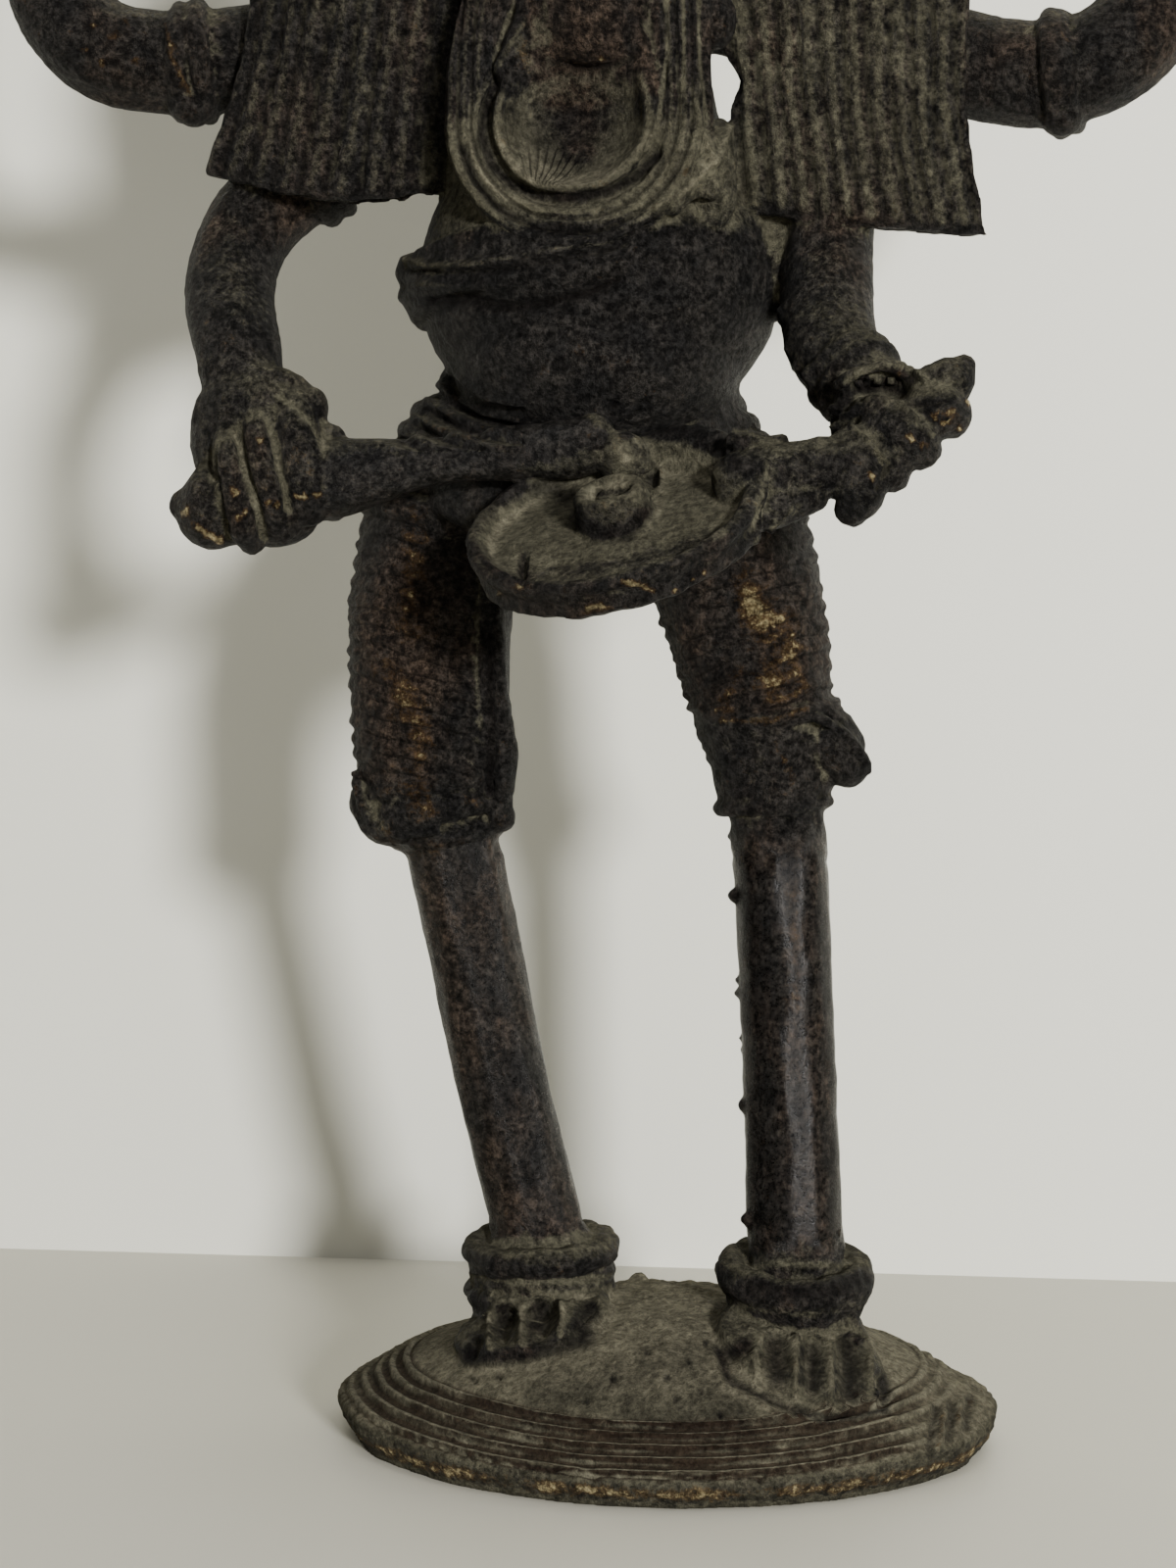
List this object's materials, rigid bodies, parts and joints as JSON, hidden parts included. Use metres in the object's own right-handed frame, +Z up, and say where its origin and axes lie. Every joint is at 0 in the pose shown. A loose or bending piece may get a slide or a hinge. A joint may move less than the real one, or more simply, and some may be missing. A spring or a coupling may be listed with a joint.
{
  "type": "ganesha figure",
  "caption": "Small cast brass Ganesha standing on a domed oval base, many-armed, beating a pan-shaped gong with a stick, under a tiered conical crown.",
  "frame": {"origin": "centre of the base's flat underside", "axes": "+Z up, -Y the way the figure faces, +X towards the hand that holds the gong"},
  "size_m": [0.1212, 0.0637, 0.202],
  "materials": {
    "aged_brass": "dark brown patina with grey-green dust in the hollows and bare brass on the worn edges"
  },
  "bodies": {
    "root": {"ganesha_figure": "aged_brass"}
  },
  "joints": []
}
